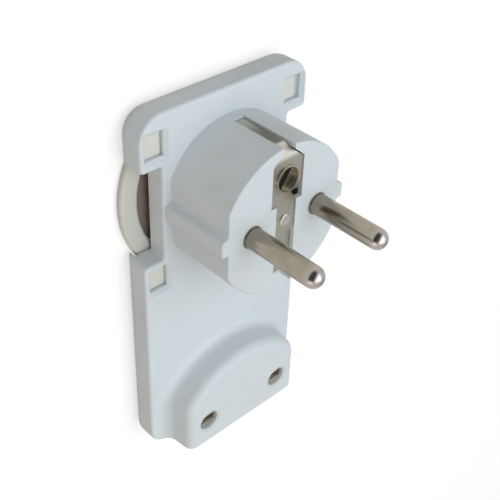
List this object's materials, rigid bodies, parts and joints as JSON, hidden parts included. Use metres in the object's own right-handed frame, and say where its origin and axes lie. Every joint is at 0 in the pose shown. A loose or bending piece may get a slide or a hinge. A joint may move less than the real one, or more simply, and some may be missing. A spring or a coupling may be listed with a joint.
{
  "type": "flat earthed plug",
  "caption": "Flat rewirable earthed mains plug with round pins, a pocketed earth contact in a round nose, an arched cord boss and a pull ring folded into its back.",
  "frame": {"origin": "point where the plug's middle axis between the pins meets the flat rear face", "axes": "+X across the two pins, +Y up the plate to its rounded end, away from the cord, +Z along the pins"},
  "size_m": [0.0494, 0.0921, 0.0457],
  "materials": {
    "white_housing": "satin moulded white",
    "cream_plastic": "satin moulded cream",
    "nickel_pin": "turned brass with bright nickel plate",
    "plated_strip": "rolled brass strip with dull nickel plate",
    "screw_steel": "zinc plated steel"
  },
  "bodies": {
    "plug": {"front_housing": "white_housing", "rear_cover": "cream_plastic", "ring_hinge_pin": "screw_steel", "left_pin": "nickel_pin", "right_pin": "nickel_pin", "left_terminal_screw": "screw_steel", "right_terminal_screw": "screw_steel", "earth_contact_upper": "plated_strip", "earth_contact_lower": "plated_strip", "earth_rivet": "plated_strip", "earth_terminal_block": "plated_strip", "earth_terminal_screw": "screw_steel", "cord_clamp": "cream_plastic", "left_clamp_screw": "screw_steel", "right_clamp_screw": "screw_steel", "left_cover_screw": "screw_steel", "right_cover_screw": "screw_steel"},
    "ring": {"pull_ring": "cream_plastic"}
  },
  "joints": [
    {"name": "ring_fold", "type": "hinge", "parent": "plug", "child": "ring", "pos_m": [0, 0.0183, 0.0013], "axis": [1, 0, 0], "range_deg": [0, 90]}
  ]
}
